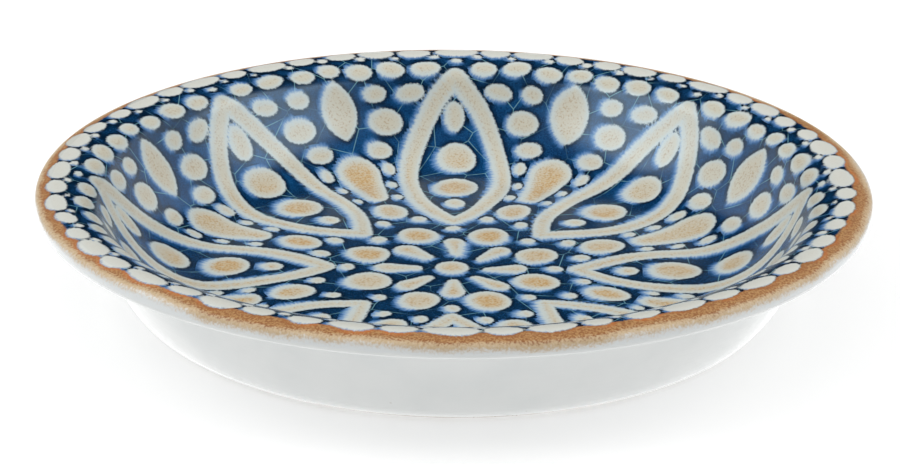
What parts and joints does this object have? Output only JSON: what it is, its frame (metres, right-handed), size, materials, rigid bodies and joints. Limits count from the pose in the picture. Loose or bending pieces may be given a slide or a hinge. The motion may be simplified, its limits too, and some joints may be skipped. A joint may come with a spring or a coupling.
{
  "type": "small bowl",
  "caption": "Low round ceramic bowl with a flared rim, a blue and ivory glazed inside, an iron-brown lip, a white outside and a bare foot ring.",
  "frame": {"origin": "middle of the foot ring, on the surface that the bowl stands on", "axes": "+Z is the axis the bowl was turned on and points up out of its mouth; the bowl is round, so X and Y are free"},
  "size_m": [0.2, 0.2, 0.0303],
  "materials": {
    "clay": "bare fired clay, matt",
    "blue_glaze": "gloss glaze over a blue and ivory ornament",
    "brown_glaze": "sponged iron-brown glaze, grainy",
    "white_glaze": "gloss cool white glaze",
    "base_white_glaze": "gloss cool white glaze inside the foot ring"
  },
  "bodies": {
    "root": {"clay_body": "clay", "inner_glaze": "blue_glaze", "rim_glaze": "brown_glaze", "outer_glaze": "white_glaze", "base_glaze": "base_white_glaze"}
  },
  "joints": []
}
